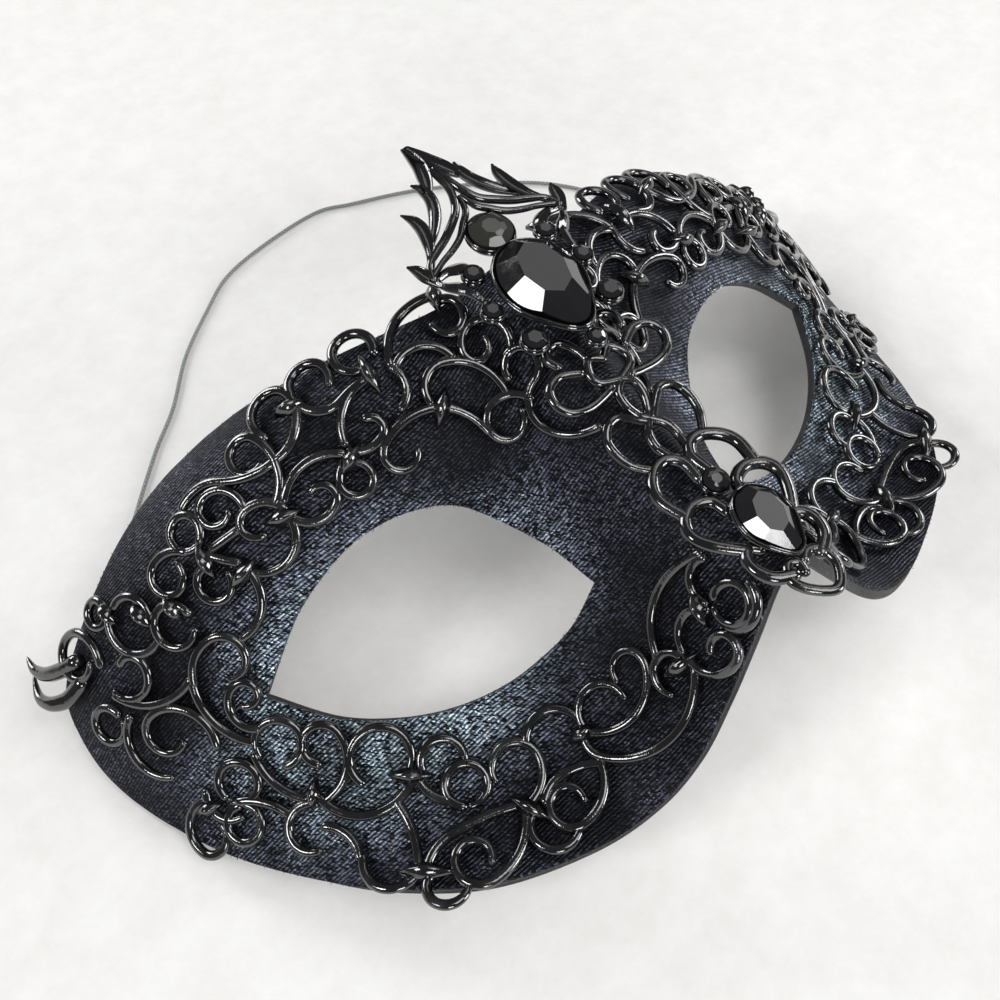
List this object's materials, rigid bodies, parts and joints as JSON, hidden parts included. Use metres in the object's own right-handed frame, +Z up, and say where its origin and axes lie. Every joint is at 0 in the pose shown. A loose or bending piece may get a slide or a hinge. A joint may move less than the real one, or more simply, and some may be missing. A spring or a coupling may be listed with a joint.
{
  "type": "masquerade mask",
  "caption": "Half-face masquerade mask: cloth-covered shell with eye holes, black scrollwork filigree, cut dark stones, pointed crown and elastic cord.",
  "frame": {"origin": "middle of the bounding box without the cord, on the surface that the mask lies on", "axes": "+X across the face from the temple nearest the camera to the far one, +Y towards the forehead, +Z up out of the face as it lies face up"},
  "size_m": [0.1716, 0.1491, 0.0632],
  "materials": {
    "cloth": "near-black navy glitter knit over a stiff shell, fine diagonal rib",
    "black_metal": "gloss black lacquer with bright rubbed highlights",
    "black_glass": "opaque jet-black cut glass",
    "elastic": "grey-black braided elastic"
  },
  "bodies": {
    "root": {"mask_shell": "cloth", "brow_filigree_near": "black_metal", "brow_filigree_far": "black_metal", "temple_filigree_near": "black_metal", "temple_filigree_far": "black_metal", "cheek_filigree_near": "black_metal", "cheek_filigree_far": "black_metal", "nose_filigree_near": "black_metal", "nose_filigree_far": "black_metal", "crown": "black_metal", "centre_spray": "black_metal", "crown_oval_stone": "black_glass", "crown_round_stone": "black_glass", "crown_upper_stone_near": "black_glass", "crown_upper_stone_far": "black_glass", "crown_side_stone_near": "black_glass", "crown_side_stone_far": "black_glass", "crown_lower_stone_near": "black_glass", "crown_lower_stone_far": "black_glass", "crown_foot_stone": "black_glass", "flower_round_stone": "black_glass", "nose_oval_stone": "black_glass", "elastic_cord": "elastic"}
  },
  "joints": []
}
